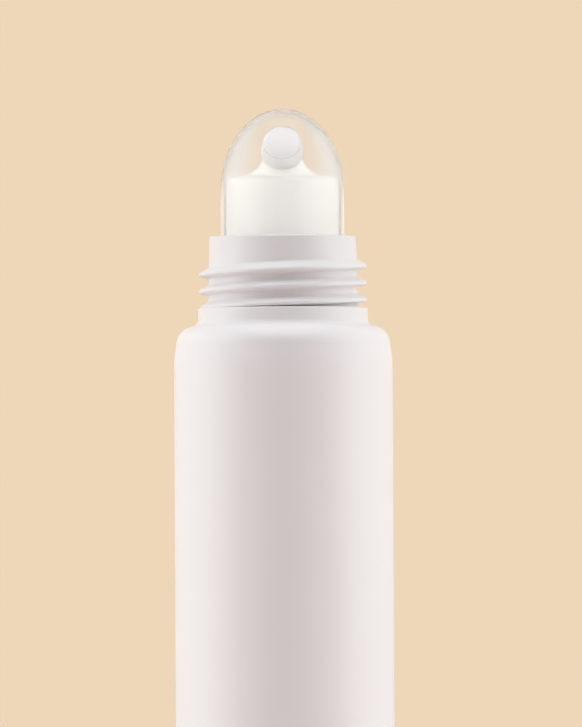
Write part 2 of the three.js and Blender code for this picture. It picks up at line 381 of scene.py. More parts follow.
def unit_circle(around):
    angles = np.linspace(0, 2 * math.pi, around, endpoint=False)
    return np.stack([np.cos(angles), np.sin(angles), np.zeros(around)], axis=1)


def turned(name, profile, around):
    rows = [radius * unit_circle(around) + (0, 0, height) for radius, height in profile]
    return grid_mesh(name, rows)


def capped(name, rings):
    ends = [0 * end + end.mean(axis=0) for end in (rings[0], rings[-1])]
    return close_mesh(grid_mesh(name, [ends[0], *rings, ends[1]]))


def join_meshes(target, *others):
    joined = bmesh.new()
    for mesh in (target, *others):
        joined.from_mesh(mesh)
    joined.to_mesh(target)
    joined.free()


def arc(centre, radii, start, end, steps):
    angles = np.radians(np.linspace(start, end, steps + 1))
    return [
        (max(centre[0] + radii[0] * math.cos(a), 0.0), centre[1] + radii[1] * math.sin(a)) for a in angles
    ]


# %% [markdown]
# A rule in Geometry Nodes needs the same frame each time: named inputs, the nodes of the rule, Realize
# Instances, Set Material. These helpers open, close and apply such a tree. The result is copied to a
# plain mesh, because the piece is handed on without modifiers.

# %% Helpers for Geometry Nodes rules
def open_rule(name, sizes):
    inputs = {"Geometry": "Geometry"} | {size: "Float" for size in sizes} | {"Finish": "Material"}
    return new_group(name, "GeometryNodeTree", inputs, {"Geometry": "Geometry"})


def close_rule(tree, given, result, geometry):
    real = add(tree, "GeometryNodeRealizeInstances", {"Geometry": geometry})
    dressed = add(
        tree, "GeometryNodeSetMaterial", {"Geometry": real.outputs[0], "Material": given["Finish"]}
    )
    tree.links.new(dressed.outputs[0], result["Geometry"])
    return tree


def apply_rule(piece, tree, values):
    modifier = piece.modifiers.new(tree.name, "NODES")
    modifier.node_group = tree
    for item in tree.interface.items_tree:
        if item.in_out == "INPUT" and item.name in values:
            modifier[item.identifier] = values[item.name]
    bpy.context.view_layer.update()
    evaluated = piece.evaluated_get(bpy.context.evaluated_depsgraph_get())
    mesh = bpy.data.meshes.new_from_object(evaluated)
    piece.modifiers.remove(modifier)
    piece.data = mesh
    mesh.name = piece.name
    return mesh


def attribute(tree, name):
    return add(tree, "GeometryNodeInputNamedAttribute", {"Name": name}, data_type="FLOAT").outputs[0]


# %% [markdown]
# The sleeve is the main piece, and its shape follows a rule: at the top it is a round tube, and towards
# the tail it flattens, with its girth unchanged, until both walls lie on each other in the weld. The
# tree mixes a circle and a flat fold by how far down the taper a point lies. The grid that it bends is
# a plain list of levels: up the outside, over the top edge and down the inside to the weld.

# %% The sleeve's rule
SLEEVE_WALL = 0.5 * MM
SEAL_HEIGHT = 6.5 * MM
TAPER_LENGTH = 42 * MM
TAPER_POWER = 1.7
FOLD_SHARPNESS = 20.0
TOP_DRAW_IN = 0.17 * MM
DRAW_IN_LENGTH = 1.7 * MM
taper_top_z = SEAL_HEIGHT + TAPER_LENGTH
head_radius = tube_radius - TOP_DRAW_IN


def make_sleeve_rule():
    sizes = ["Radius", "Half Width", "Wall", "Taper Top", "Taper Length", "Power", "Sharpness"]
    tree, given, result = open_rule("Flattened sleeve", sizes)
    around, height, inset, weld = (attribute(tree, n) for n in ("around", "height", "inset", "weld"))
    angle = calc(tree, "MULTIPLY", around, 2 * math.pi)
    below = calc(tree, "DIVIDE", calc(tree, "SUBTRACT", given["Taper Top"], height), given["Taper Length"])
    drop = calc(tree, "MINIMUM", calc(tree, "MAXIMUM", below, 0.0), 1.0)
    flat = calc(tree, "POWER", drop, given["Power"])
    rounded = calc(tree, "SUBTRACT", 1.0, flat)
    radius = calc(tree, "SUBTRACT", given["Radius"], inset)
    nearest = calc(tree, "MINIMUM", around, calc(tree, "SUBTRACT", 1.0, around))
    # The fold runs from 1 at one edge of the weld to -1 at the other.
    fold = calc(tree, "MULTIPLY_ADD", nearest, -4.0, 1.0)
    half_width = calc(tree, "SUBTRACT", given["Half Width"], inset)
    steep = calc(tree, "MULTIPLY", calc(tree, "SINE", angle), given["Sharpness"])
    side = calc(tree, "MINIMUM", calc(tree, "MAXIMUM", steep, -1.0), 1.0)
    thin = calc(tree, "SUBTRACT", given["Wall"], inset)
    x_round = calc(tree, "MULTIPLY", calc(tree, "COSINE", angle), radius)
    y_round = calc(tree, "MULTIPLY", calc(tree, "SINE", angle), radius)
    x_flat = calc(tree, "MULTIPLY", calc(tree, "MULTIPLY", fold, half_width), flat)
    y_flat = calc(tree, "MULTIPLY", calc(tree, "MULTIPLY", side, thin), flat)
    x = calc(tree, "MULTIPLY_ADD", x_round, rounded, x_flat)
    y = calc(tree, "MULTIPLY_ADD", y_round, rounded, y_flat)
    open_y = calc(tree, "MULTIPLY", y, calc(tree, "SUBTRACT", 1.0, weld))
    place = add(tree, "ShaderNodeCombineXYZ", {"X": x, "Y": open_y, "Z": height})
    bent = add(
        tree, "GeometryNodeSetPosition", {"Geometry": given["Geometry"], "Position": place.outputs[0]}
    )
    return close_rule(tree, given, result, bent.outputs[0])


sleeve_rule = make_sleeve_rule()
sleeve_sizes = {
    "Radius": tube_radius,
    "Half Width": seal_half_width,
    "Wall": SLEEVE_WALL,
    "Taper Top": taper_top_z,
    "Taper Length": TAPER_LENGTH,
    "Power": TAPER_POWER,
    "Sharpness": FOLD_SHARPNESS,
}
print("sleeve rule:", len(sleeve_rule.nodes), "nodes")

# %% The sleeve
AROUND_SLEEVE = 144
WELD_LEVELS = (0.0, 0.3, 0.7)
TAPER_LEVELS = 45
STRAIGHT_LEVELS = 6
DRAWN_LEVELS = 8


def flattened_piece(name, levels, material):
    """Bends a grid of (height, inset, weld) levels by the sleeve's rule."""
    around = np.arange(AROUND_SLEEVE) / AROUND_SLEEVE
    rows = [np.stack([around, around * 0, around * 0 + height], axis=1) for height, _, _ in levels]
    mesh = grid_mesh(name, rows)
    columns = {"around": np.tile(around, len(levels))}
    for index, label in enumerate(("height", "inset", "weld")):
        columns[label] = np.repeat([level[index] for level in levels], AROUND_SLEEVE)
    for label, values in columns.items():
        layer = mesh.attributes.new(label, "FLOAT", "POINT")
        layer.data.foreach_set("value", values.astype(np.float32))
    piece = new_piece(name, mesh, material)
    close_mesh(apply_rule(piece, sleeve_rule, sleeve_sizes | {"Finish": material}))
    return piece


def drawn_in(z):
    """How far the sleeve is drawn in at a level, a smooth step over the last stretch under the head."""
    share = min(max((z - seam_z) / DRAW_IN_LENGTH + 1, 0.0), 1.0)
    return TOP_DRAW_IN * share * share * (2 - share)


def sleeve_levels():
    weld = [share * SEAL_HEIGHT for share in WELD_LEVELS]
    taper = np.linspace(SEAL_HEIGHT, taper_top_z, TAPER_LEVELS)
    straight = np.linspace(taper_top_z, seam_z - DRAW_IN_LENGTH, STRAIGHT_LEVELS)[1:]
    drawn = np.linspace(seam_z - DRAW_IN_LENGTH, seam_z, DRAWN_LEVELS)[1:]
    outside = [*weld, *taper, *straight, *drawn]
    inside = [z for z in reversed(outside) if z > SEAL_HEIGHT + SLEEVE_WALL]
    return (
        [(0.0, 0.0, 1.0)]
        + [(z, drawn_in(z), 0.0) for z in outside]
        + [(z, drawn_in(z) + SLEEVE_WALL, 0.0) for z in inside]
        + [(SEAL_HEIGHT, SLEEVE_WALL, 1.0)]
    )


sleeve = flattened_piece("sleeve_skin", sleeve_levels(), sleeve_satin)

# %% [markdown]
# The jaws that weld the tail press a row of fine upright ribs into it. Each rib is the same, so a tree
# sets points along the weld on both faces and puts a low round bar on each one.

# %% Ribs pressed into the weld
RIB_PITCH = 0.8 * MM
RIB_COUNT = 33
RIB_WIDTH = 0.44 * MM
RIB_PROUD = 0.07 * MM
RIB_MARGIN = 0.8 * MM
RIB_SIDES = 12


def make_rib_rule():
    sizes = ["Pitch", "Count", "Width", "Proud", "Length", "Face"]
    tree, given, result = open_rule("Weld ribs", sizes)
    row_length = calc(tree, "MULTIPLY", calc(tree, "SUBTRACT", given["Count"], 1.0), given["Pitch"])
    start_x = calc(tree, "MULTIPLY", row_length, -0.5)
    middle_z = calc(tree, "MULTIPLY", given["Length"], 0.5)
    step = add(tree, "ShaderNodeCombineXYZ", {"X": given["Pitch"]}).outputs[0]
    bar = add(
        tree,
        "GeometryNodeMeshCylinder",
        {
            "Vertices": RIB_SIDES,
            "Radius": calc(tree, "MULTIPLY", given["Width"], 0.5),
            "Depth": given["Length"],
        },
    )
    low = calc(tree, "DIVIDE", calc(tree, "MULTIPLY", given["Proud"], 2.0), given["Width"])
    size = add(tree, "ShaderNodeCombineXYZ", {"X": 1.0, "Y": low, "Z": 1.0}).outputs[0]
    joined = tree.nodes.new("GeometryNodeJoinGeometry")
    for face in (1.0, -1.0):
        start = add(
            tree,
            "ShaderNodeCombineXYZ",
            {"X": start_x, "Y": calc(tree, "MULTIPLY", given["Face"], face), "Z": middle_z},
        )
        line = add(
            tree,
            "GeometryNodeMeshLine",
            {"Count": given["Count"], "Start Location": start.outputs[0], "Offset": step},
        )
        ribs = add(
            tree,
            "GeometryNodeInstanceOnPoints",
            {"Points": line.outputs[0], "Instance": bar.outputs[0], "Scale": size},
        )
        tree.links.new(ribs.outputs[0], joined.inputs[0])
    lifted = add(
        tree,
        "GeometryNodeTransform",
        {"Geometry": joined.outputs[0], "Translation": (0, 0, RIB_MARGIN)},
    )
    return close_rule(tree, given, result, lifted.outputs[0])


seal_ribs = new_piece("seal_ribs", bpy.data.meshes.new("seal_ribs"), sleeve_satin)
rib_sizes = {
    "Pitch": RIB_PITCH,
    "Count": RIB_COUNT,
    "Width": RIB_WIDTH,
    "Proud": RIB_PROUD,
    "Length": SEAL_HEIGHT - 2 * RIB_MARGIN,
    "Face": SLEEVE_WALL,
    "Finish": sleeve_satin,
}
close_mesh(apply_rule(seal_ribs, make_rib_rule(), rib_sizes))

# %% [markdown]
# The head is one moulding, so its profile is drawn once and turned: a skirt inside the sleeve, the round
# shoulder, the collar, the neck with a little draft, and the stepped bore. Every edge that shows has a
# small round, because a sharp edge catches no light and looks cut from paper.

# %% The head's profile
SHOULDER_RADIUS = 1.75 * MM
SHOULDER_WALL = 1.2 * MM
SKIRT_DEPTH = 3 * MM
SKIRT_WALL = 0.8 * MM
SKIRT_FIT = 0.1 * MM
COLLAR_RADIUS = 7.4 * MM
COLLAR_HEIGHT = 1.555 * MM
COLLAR_DRAFT = 0.02 * MM
COLLAR_FILLET = 0.55 * MM
NECK_RADIUS = 6.5 * MM
NECK_DRAFT = 0.115 * MM
EDGE_ROUND = 0.15 * MM
BORE_FIT = 0.1 * MM
THROAT_RADIUS = 4.2 * MM
THREAD_ROWS = 110
SHOULDER_STEPS = 24
FILLET_STEPS = 8
OUTER_EDGE_STEPS = 5
BORE_EDGE_STEPS = 4

shoulder_centre = head_radius - SHOULDER_RADIUS
shoulder_top_z = seam_z + math.sqrt(SHOULDER_RADIUS**2 - (COLLAR_RADIUS - shoulder_centre) ** 2)
collar_top_z = shoulder_top_z + COLLAR_HEIGHT
neck_top_radius = NECK_RADIUS - NECK_DRAFT


def head_profile():
    skirt_outer = head_radius - SLEEVE_WALL - SKIRT_FIT
    skirt_inner = skirt_outer - SKIRT_WALL
    foot_z = seam_z - SKIRT_DEPTH
    underside_z = shoulder_top_z - SHOULDER_WALL
    inner_arc = underside_z - seam_z
    fillet_centre = COLLAR_RADIUS + COLLAR_FILLET
    reach = SHOULDER_RADIUS + COLLAR_FILLET
    lift = math.sqrt(reach**2 - (fillet_centre - shoulder_centre) ** 2)
    arc_end = math.degrees(math.asin(lift / reach))
    collar_top = COLLAR_RADIUS - COLLAR_DRAFT
    bore = dome_radius + BORE_FIT
    edge = (EDGE_ROUND, EDGE_ROUND)
    neck_line = np.linspace(0, 1, THREAD_ROWS)
    return [
        (skirt_outer, foot_z),
        (skirt_outer, seam_z),
        *arc((shoulder_centre, seam_z), (SHOULDER_RADIUS,) * 2, 0, arc_end, SHOULDER_STEPS),
        *arc((fillet_centre, seam_z + lift), (COLLAR_FILLET,) * 2, 180 + arc_end, 180, FILLET_STEPS)[1:],
        *arc((collar_top - EDGE_ROUND, collar_top_z - EDGE_ROUND), edge, 0, 90, OUTER_EDGE_STEPS),
        *[
            (NECK_RADIUS - NECK_DRAFT * t, collar_top_z + (rim_z - EDGE_ROUND - collar_top_z) * t)
            for t in neck_line
        ],
        *arc((neck_top_radius - EDGE_ROUND, rim_z - EDGE_ROUND), edge, 0, 90, OUTER_EDGE_STEPS)[1:],
        *arc((bore + EDGE_ROUND, rim_z - EDGE_ROUND), edge, 90, 180, BORE_EDGE_STEPS),
        (bore, ledge_z),
        (THROAT_RADIUS, ledge_z),
        (THROAT_RADIUS, underside_z),
        *arc((skirt_inner - inner_arc, seam_z), (inner_arc,) * 2, 90, 0, FILLET_STEPS),
        (skirt_inner, foot_z),
        (skirt_outer, foot_z),
    ]


# %% [markdown]
# The screw thread is one ridge that winds down the neck. A tube swept along a helix would leave a hard
# crease where it meets the neck, and real threads are moulded with soft roots. So the rule works on the
# neck's own surface: each point finds how far it lies from the nearest turn of the helix, and is pushed
# out by a smooth ridge of that distance. The upper flank is longer than the lower one.

# %% The thread's rule
def make_thread_rule():
    sizes = ["Crest Radius", "Pitch", "Top", "Start Turn", "Turns", "Run Out", "Crest", "Upper", "Lower"]
    tree, given, result = open_rule("Screw ridge", sizes)
    here = add(tree, "GeometryNodeInputPosition").outputs[0]
    xyz = add(tree, "ShaderNodeSeparateXYZ", {0: here}).outputs
    turn = calc(tree, "DIVIDE", calc(tree, "ARCTAN2", xyz["Y"], xyz["X"]), 2 * math.pi)
    climb = calc(tree, "DIVIDE", calc(tree, "SUBTRACT", xyz["Z"], given["Top"]), given["Pitch"])
    turns_off = calc(tree, "SUBTRACT", climb, turn)
    whole = calc(tree, "ROUND", turns_off)
    offset = calc(tree, "MULTIPLY", calc(tree, "SUBTRACT", turns_off, whole), given["Pitch"])
    along = calc(tree, "ADD", turn, whole)
    to_start = calc(tree, "SUBTRACT", given["Start Turn"], along)
    to_end = calc(tree, "SUBTRACT", given["Turns"], to_start)
    nearest_end = calc(tree, "MINIMUM", to_start, to_end)
    half_crest = calc(tree, "MULTIPLY", given["Crest"], 0.5)

    def slope(value, full, none):
        return remap(tree, value, (none, full), interpolation_type="SMOOTHSTEP")

    fade = slope(nearest_end, given["Run Out"], 0.0)
    upper = slope(offset, half_crest, calc(tree, "ADD", half_crest, given["Upper"]))
    below = calc(tree, "MULTIPLY", offset, -1.0)
    lower = slope(below, half_crest, calc(tree, "ADD", half_crest, given["Lower"]))
    ridge = calc(tree, "MULTIPLY", calc(tree, "MINIMUM", upper, lower), fade)
    shown = calc(tree, "MULTIPLY", ridge, attribute(tree, "neck"))
    y_squared = calc(tree, "MULTIPLY", xyz["Y"], xyz["Y"])
    radius = calc(tree, "SQRT", calc(tree, "MULTIPLY_ADD", xyz["X"], xyz["X"], y_squared))
    gain = calc(tree, "MULTIPLY", calc(tree, "SUBTRACT", given["Crest Radius"], radius), shown)
    grow = calc(tree, "DIVIDE", calc(tree, "ADD", radius, gain), radius)
    x = calc(tree, "MULTIPLY", xyz["X"], grow)
    y = calc(tree, "MULTIPLY", xyz["Y"], grow)
    place = add(tree, "ShaderNodeCombineXYZ", {"X": x, "Y": y, "Z": xyz["Z"]})
    pushed = add(
        tree, "GeometryNodeSetPosition", {"Geometry": given["Geometry"], "Position": place.outputs[0]}
    )
    return close_rule(tree, given, result, pushed.outputs[0])


thread_rule = make_thread_rule()
print("thread rule:", len(thread_rule.nodes), "nodes")

# %% The head with its thread
AROUND_HEAD = 192
thread_sizes = {
    "Crest Radius": 7.27 * MM,
    "Pitch": 1.47 * MM,
    "Top": rim_z - 2.64 * MM,
    "Start Turn": 0.28,
    "Turns": 2.95,
    "Run Out": 0.17,
    "Crest": 0.13 * MM,
    "Upper": 0.7 * MM,
    "Lower": 0.3 * MM,
}


def make_head():
    profile = head_profile()
    mesh = turned("neck_moulding", profile, AROUND_HEAD)
    on_neck = [neck_top_radius <= r <= NECK_RADIUS and z >= collar_top_z for r, z in profile]
    layer = mesh.attributes.new("neck", "FLOAT", "POINT")
    layer.data.foreach_set("value", np.repeat(on_neck, AROUND_HEAD).astype(np.float32))
    piece = new_piece("neck_moulding", mesh, neck_gloss)
    close_mesh(apply_rule(piece, thread_rule, thread_sizes | {"Finish": neck_gloss}))
    return piece


head = make_head()

# %% [markdown]
# The white core is a tubular post with a flange. It is seen only through the clear dome, so what counts
# is its outline: straight sides and a rounded top edge. A barbed ring just below the neck's rim anchors
# the dome, and it sends light back up, where a deep slot would be dark. The core's skin reaches a hair
# into the dome's cavity, as a pressed fit does. Without that contact a film of air would mirror instead
# of showing white.

# %% The core
CORE_RADIUS = 3.75 * MM
CORE_EDGE = 0.45 * MM
CORE_FLANGE = 1.1 * MM
CORE_BORE = 1.9 * MM
CORE_TOP_WALL = 1.2 * MM
FEED_RADIUS = 1.35 * MM
CONTACT = 0.012 * MM
ANCHOR_RADIUS = 5.25 * MM
ANCHOR_DEPTHS = (0.05 * MM, 0.4 * MM, 1.3 * MM)
CORE_EDGE_STEPS = 10
AROUND_CORE = 96


def anchor_ring(inset):
    """Profile points of the barbed ring, from its foot to its top."""
    top_z, edge_z, foot_z = (rim_z - depth for depth in ANCHOR_DEPTHS)
    return [
        (CORE_RADIUS - inset, foot_z + inset),
        (ANCHOR_RADIUS - inset, foot_z + inset),
        (ANCHOR_RADIUS - inset, edge_z),
        (CORE_RADIUS - inset, top_z),
    ]


def core_profile():
    edge = CORE_RADIUS - CORE_EDGE
    inner_top_z = core_top_z - CORE_TOP_WALL
    return [
        (CORE_BORE, ledge_z),
        (dome_radius, ledge_z),
        (dome_radius, ledge_z + CORE_FLANGE),
        (CORE_RADIUS, ledge_z + CORE_FLANGE),
        *anchor_ring(0.0),
        *arc((edge, core_top_z - CORE_EDGE), (CORE_EDGE, CORE_EDGE), 0, 90, CORE_EDGE_STEPS),
        (FEED_RADIUS, core_top_z),
        (FEED_RADIUS, inner_top_z),
        (CORE_BORE, inner_top_z - (CORE_BORE - FEED_RADIUS)),
        (CORE_BORE, ledge_z),
    ]


core = new_piece("white_core", turned("white_core", core_profile(), AROUND_CORE), core_white)
close_mesh(core.data)

# %% [markdown]
# The outlet's mouth lies on the dome's front, square to its surface. From the dome's ellipse follow the
# mouth's place and its axis, and where that axis meets the tube's axis, the balm's way bends.

# %% Where the outlet lies
DOME_STRAIGHT = 3.8 * MM
OUTLET_RADIUS = 1.65 * MM
OUTLET_RISE = 8.13 * MM
CUP_LENGTH = 2.1 * MM

crown_z = rim_z + DOME_STRAIGHT
crown_height = dome_top_z - crown_z
mouth_z = rim_z + OUTLET_RISE
mouth_y = -dome_radius * math.sqrt(1 - ((mouth_z - crown_z) / crown_height) ** 2)
outlet_axis = Vector((0, mouth_y / dome_radius**2, (mouth_z - crown_z) / crown_height**2)).normalized()
to_mouth = mouth_y / outlet_axis.y
elbow = Vector((0, mouth_y, mouth_z)) - outlet_axis * to_mouth
cup_floor = to_mouth - CUP_LENGTH
print("outlet axis:", tuple(round(v, 4) for v in outlet_axis), f"{to_mouth / MM:.2f} mm to the mouth")

# %% [markdown]
# Two shapes are cut out of the dome: a cup behind the mouth, and a funnel that leads up to it from the
# core. The funnel's rings run on a Bezier curve, from a wide foot on the core past a waist to the cup,
# where they lean to the front. Its white wall belongs to the core, and the balm runs inside it on rings
# of the same curve.

# %% Cup and funnel
FUNNEL_RADII = (3.2 * MM, 1.5 * MM, FEED_RADIUS)
FEED_RADII = (FEED_RADIUS, 1.2 * MM, 1.15 * MM)
WAIST_FORWARD = 1.6 * MM
FUNNEL_STEPS = 14
CUP_STEPS = 12
AROUND_OUTLET = 64


def ring(forward, z, radius, lean=0.0):
    """A circle that leans to the front by an angle."""
    tilt = np.array(Matrix.Rotation(lean, 3, "X")).T
    return radius * unit_circle(AROUND_OUTLET) @ tilt + (0, -forward, z)


def funnel_rings(radii, skin=0.0):
    """Rings from the foot on the core up to the cup. The radii are those of foot, waist and tip."""
    tip_at = elbow + outlet_axis * cup_floor
    foot = ring(0, core_top_z + skin, radii[0] + skin)
    waist = ring(WAIST_FORWARD, core_top_z + skin, radii[1] + skin)
    tip = ring(-tip_at.y, tip_at.z, radii[2] + skin, math.acos(outlet_axis.z))
    steps = np.linspace(0, 1, FUNNEL_STEPS + 1)
    return [(1 - t) ** 2 * foot + 2 * t * (1 - t) * waist + t**2 * tip for t in steps]


def add_funnel():
    """Joins the funnel's white wall to the core, outside and inside in one skin."""
    base = ring(0, core_top_z - CONTACT, FUNNEL_RADII[0] + CONTACT)
    wall = [base, *funnel_rings(FUNNEL_RADII, CONTACT), *reversed(funnel_rings(FEED_RADII)), base]
    join_meshes(core.data, close_mesh(grid_mesh("funnel", wall)))


def funnel_cutter():
    root = ring(0, core_top_z - CORE_EDGE, FEED_RADIUS)
    return capped("funnel_cutter", [root, *funnel_rings(FUNNEL_RADII)])


def cup_cutter():
    past_z = to_mouth + OUTLET_RADIUS
    floor = arc((0, cup_floor), (OUTLET_RADIUS, OUTLET_RADIUS), -90, 0, CUP_STEPS)
    profile = [*floor, (OUTLET_RADIUS, past_z), (0, past_z)]
    mesh = close_mesh(turned("cup_cutter", profile, AROUND_OUTLET))
    turn = Vector((0, 0, 1)).rotation_difference(outlet_axis).to_matrix().to_4x4()
    mesh.transform(Matrix.Translation(elbow) @ turn)
    return mesh


add_funnel()

# %% [markdown]
# The dome is turned from one closed profile, then cup and funnel are cut out with Boolean modifiers.
# A cut leaves slivers round the mouth, and in clear plastic the smallest kink of shading shows. So the
# outer skin gets its exact normals from the ellipse, and only the cavity keeps those of its faces.

# %% The dome
SNAP_PROUD = 0.25 * MM
SNAP_WIDTH = 0.9 * MM
SNAP_DROP = 3.5 * MM
AROUND_DOME = 160
WALL_LEVELS = 12
CROWN_STEPS = 48
SKIN_TOLERANCE = 0.004
FACES_OUT = 0.7


def dome_profile():
    cavity = CORE_RADIUS - CONTACT
    cavity_top_z = core_top_z - CONTACT
    cavity_edge = (cavity - CORE_EDGE, cavity_top_z - CORE_EDGE)
    snap_z = rim_z - SNAP_DROP
    return [
        (cavity, dome_foot_z),
        (dome_radius, dome_foot_z),
        (dome_radius, snap_z - SNAP_WIDTH / 2),
        (dome_radius + SNAP_PROUD, snap_z - SNAP_WIDTH / 4),
        (dome_radius + SNAP_PROUD, snap_z + SNAP_WIDTH / 4),
        (dome_radius, snap_z + SNAP_WIDTH / 2),
        *[(dome_radius, z) for z in np.linspace(rim_z - MM, crown_z, WALL_LEVELS)[:-1]],
        *arc((0, crown_z), (dome_radius, crown_height), 0, 90, CROWN_STEPS),
        (0, cavity_top_z),
        *arc(cavity_edge, (CORE_EDGE, CORE_EDGE), 90, 0, CORE_EDGE_STEPS),
        *reversed(anchor_ring(CONTACT)),
        (cavity, dome_foot_z),
    ]


def cut(piece, cutters):
    for cutter in cutters:
        tool = new_piece(cutter.name, cutter, clear_silicone)
        modifier = piece.modifiers.new("cut", "BOOLEAN")
        modifier.object = tool
        modifier.operation = "DIFFERENCE"
        modifier.solver = "EXACT"
        bpy.context.view_layer.update()
        evaluated = piece.evaluated_get(bpy.context.evaluated_depsgraph_get())
        piece.data = bpy.data.meshes.new_from_object(evaluated)
        piece.modifiers.remove(modifier)
        bpy.data.objects.remove(tool)


def dome_normals(mesh):
    """Exact normals on the outer skin, face normals elsewhere."""
    normals = [Vector(corner.vector) for corner in mesh.corner_normals]
    for face in mesh.polygons:
        for loop in face.loop_indices:
            x, y, z = mesh.vertices[mesh.loops[loop].vertex_index].co
            up = max(z - crown_z, 0.0)
            exact = Vector((x / dome_radius**2, y / dome_radius**2, up / crown_height**2)).normalized()
            off_skin = abs((x * x + y * y) / dome_radius**2 + (up / crown_height) ** 2 - 1)
            outside = off_skin < SKIN_TOLERANCE and z > rim_z - MM
            if outside and face.normal.dot(exact) > FACES_OUT:
                normals[loop] = exact
    mesh.normals_split_custom_set(normals)


def make_dome():
    mesh = close_mesh(turned("clear_dome", dome_profile(), AROUND_DOME))
    piece = new_piece("clear_dome", mesh, clear_silicone)
    cut(piece, [cup_cutter(), funnel_cutter()])
    close_mesh(piece.data)
    dome_normals(piece.data)
    return piece


dome = make_dome()

# %% [markdown]
# The balm has two pieces. The dab in the cup ends level with the dome, so the rows of its face are set
# on the dome's own ellipse, sunk a little at the rim as a paste draws back. It moves when the tube is
# squeezed. The rest fills the funnel, the core and the sleeve.

# %% The dab of balm in the mouth
DAB_SINK = 0.03 * MM
DAB_RIM_SINK = 0.05 * MM
DAB_RIM_POWER = 24
DAB_FLOOR_STEPS = 14
DAB_FACE_SHARES = (1.0, 0.985, 0.96, 0.9, 0.8, 0.6, 0.4, 0.2, 0.0)


def skin_reach(across):
    """How far along the outlet's axis the dome's skin lies, for a row of points across the axis."""
    scale = np.array([1 / dome_radius, 1 / dome_radius, 1 / crown_height])
    start = (across + np.array(elbow) - (0, 0, crown_z)) * scale
    step = np.array(outlet_axis) * scale
    a = step @ step
    b = 2 * start @ step
    c = (start**2).sum(axis=1) - 1
    return (-b + np.sqrt(b * b - 4 * a * c)) / (2 * a)


def make_dab():
    radius = OUTLET_RADIUS + CONTACT
    right = np.array((1.0, 0.0, 0.0))
    axis = np.array(outlet_axis)
    circle = unit_circle(AROUND_OUTLET) @ np.array([right, np.cross(axis, right), axis])
    centre = np.array(elbow)
    floor = arc((0, cup_floor), (radius, radius), -90, 0, DAB_FLOOR_STEPS)
    rows = [out * circle + centre + along * axis for out, along in floor]
    for share in DAB_FACE_SHARES:
        across = share * radius * circle
        sink = DAB_SINK + DAB_RIM_SINK * share**DAB_RIM_POWER
        rows.append(across + centre + (skin_reach(across) - sink)[:, None] * axis)
    mesh = close_mesh(grid_mesh("balm_dab", rows))
    return new_piece("balm_dab", mesh, balm_paste)


dab = make_dab()

# %% The balm inside
BALM_GAP = 0.3 * MM
TAIL_ROOM = 0.2
BELLY_LEVELS = 20
AROUND_COLUMN = 48


def make_balm():
    inset = SLEEVE_WALL + BALM_GAP
    low_z = taper_top_z - (1 - TAIL_ROOM) * TAPER_LENGTH
    high_z = seam_z - SKIRT_DEPTH - BALM_GAP
    heights = [*np.linspace(low_z, taper_top_z, BELLY_LEVELS), high_z]
    belly = flattened_piece(
        "balm_column",
        [(low_z, inset, 1.0), *[(z, inset, 0.0) for z in heights], (high_z, tube_radius, 0.0)],
        balm_paste,
    )
    throat = THROAT_RADIUS - BALM_GAP
    bore = CORE_BORE - BALM_GAP
    column_top_z = core_top_z - CORE_TOP_WALL - BALM_GAP
    profile = [
        (0, high_z),
        (throat, high_z),
        (throat, ledge_z - BALM_GAP),
        (bore, ledge_z - BALM_GAP),
        (bore, column_top_z - bore + FEED_RADIUS),
        (FEED_RADIUS, column_top_z),
        (0, column_top_z),
    ]
    column = close_mesh(turned("column", profile, AROUND_COLUMN))
    feed = capped("feed", [ring(0, column_top_z, FEED_RADIUS), *funnel_rings(FEED_RADII)])
    join_meshes(belly.data, column, feed)
    return belly


balm = make_balm()

# %% [markdown]
# Now each piece is tied to the frame. It rides on the body that carries it and hides the solid that it
# stands for.

# %% Tie the pieces to the frame
for piece, body, node, slot in (
    (sleeve, "tube", "sleeve", "sleeve_plastic"),
    (seal_ribs, "tube", None, "sleeve_plastic"),
    (head, "tube", "shoulder_neck", "neck_plastic"),
    (dome, "tube", "applicator_dome", "clear_silicone"),
    (core, "tube", "applicator_core", "core_plastic"),
    (balm, "tube", "balm_fill", "balm"),
    (dab, "dab", "balm_bead", "balm"),
):
    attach(piece, body)
    if node:
        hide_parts(node)
    print(piece.name, "rides on", body)

# %% [markdown]
# The studio is a pale floor under one plain backdrop colour. Near the tube the camera sees the floor as a
# lit card with the tube's shadow on it, and further out as the backdrop, so no horizon shows. The clear
# dome bends what lies behind it, so rays that pass through it get colours of their own: the backdrop in
# the middle, paler to the sides, and a dark and a bright line along the straight wall. Rays that leave
# the white core inside the dome find a white room, which keeps the core from going grey.

# %% Floor
BACKDROP = (0.855, 0.674, 0.485, 1)
FLOOR_BOUNCE = (0.84, 0.72, 0.67, 1)
FLOOR_ROUGHNESS = 0.9
FLOOR_RADIUS = 1.4
FLOOR_SIDES = 96
LIT_RADIUS = 0.1
PLAIN_RADIUS = 0.3
ROOM_WHITE = (0.97, 0.955, 0.935, 1)

# What shows through the clear dome, by the sine of the angle away from straight behind the tube. The
# crown bends its rays down to the floor, and the straight wall sends them out level.
ROOM_PALE = (0.86, 0.81, 0.74, 1)
LINE_DARK = (0.55, 0.54, 0.52, 1)
LINE_BRIGHT = (1.0, 0.93, 0.83, 1)
FLOOR_BEHIND = [(0.29, BACKDROP), (0.46, ROOM_PALE)]
WALL_BEHIND = [(0.65, ROOM_PALE), (0.69, LINE_DARK), (0.73, LINE_DARK), (0.77, LINE_BRIGHT)]


